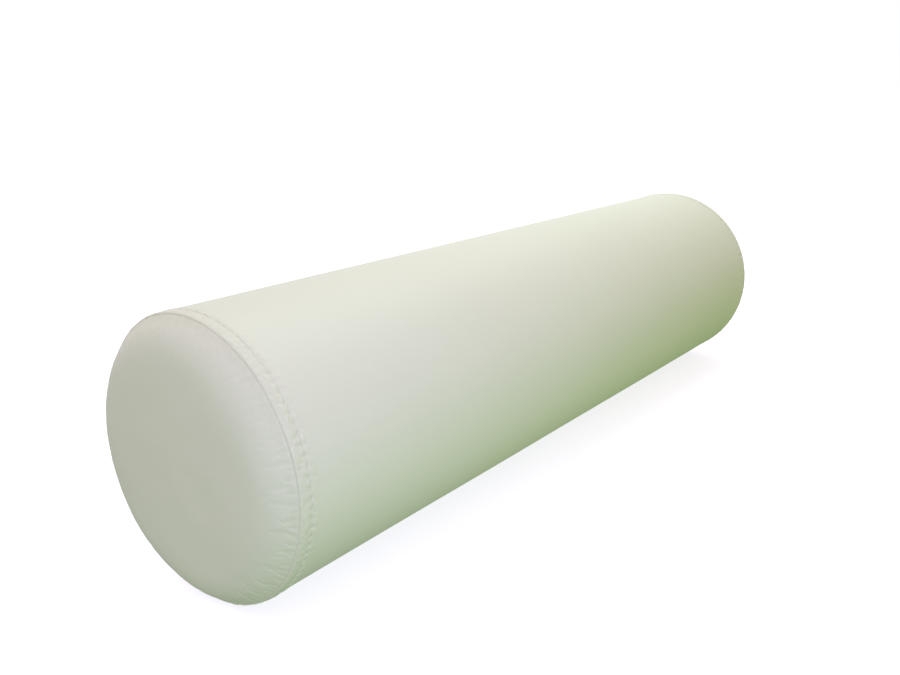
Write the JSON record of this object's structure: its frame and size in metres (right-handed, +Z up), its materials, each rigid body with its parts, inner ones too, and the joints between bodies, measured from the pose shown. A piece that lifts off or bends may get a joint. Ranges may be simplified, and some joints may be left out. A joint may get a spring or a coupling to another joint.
{
  "type": "foam roller",
  "caption": "Round massage bolster: a foam roll in a sewn cream vinyl cover with gently domed end discs, topstitched seams and a hidden zip along the back.",
  "frame": {"origin": "middle of the small resting flat on the underside, halfway between the two ends", "axes": "+X along the roll from the front end to the rear end, +Z up, +Y to the back, where the zip is"},
  "size_m": [0.6774, 0.18, 0.179],
  "materials": {
    "vinyl": "smooth upholstery vinyl, soft satin sheen",
    "foam": "open-cell polyurethane foam, matte",
    "wadding": "polyester wadding, matte",
    "liner": "thin knitted tube, matte",
    "thread": "bonded polyester thread, soft sheen",
    "zip_tape": "woven polyester tape, matte",
    "zip_teeth": "moulded acetal, satin",
    "zip_metal": "nickel-plated, satin"
  },
  "bodies": {
    "roller": {"foam_core": "foam", "wadding_wrap": "wadding", "front_wadding_disc": "wadding", "rear_wadding_disc": "wadding", "stuffing_liner": "liner", "sleeve_panel": "vinyl", "front_end_panel": "vinyl", "rear_end_panel": "vinyl", "front_seam_thread": "thread", "rear_seam_thread": "thread", "front_topstitch": "thread", "rear_topstitch": "thread", "side_seam_thread": "thread", "zip_tape_upper": "zip_tape", "zip_tape_lower": "zip_tape", "zip_teeth_upper": "zip_teeth", "zip_teeth_lower": "zip_teeth", "zip_top_stops": "zip_metal", "zip_bottom_stop": "zip_metal", "zip_topstitch_upper": "thread", "zip_topstitch_lower": "thread", "zip_bartacks": "thread"},
    "slider": {"slider_body": "zip_metal", "slider_crown": "zip_metal"},
    "pull_tab": {"slider_pull_tab": "zip_metal"}
  },
  "joints": [
    {"name": "zip_slide", "type": "slide", "parent": "roller", "child": "slider", "axis": [-1, 0, 0], "range_m": [0, 0.504], "deforming": ["zip_teeth_upper", "zip_teeth_lower"]},
    {"name": "pull_tab_hinge", "type": "hinge", "parent": "slider", "child": "pull_tab", "pos_m": [0.254, 0.08767, 0.11414], "axis": [0, 0.2756, -0.9613], "range_deg": [0, 178]}
  ]
}
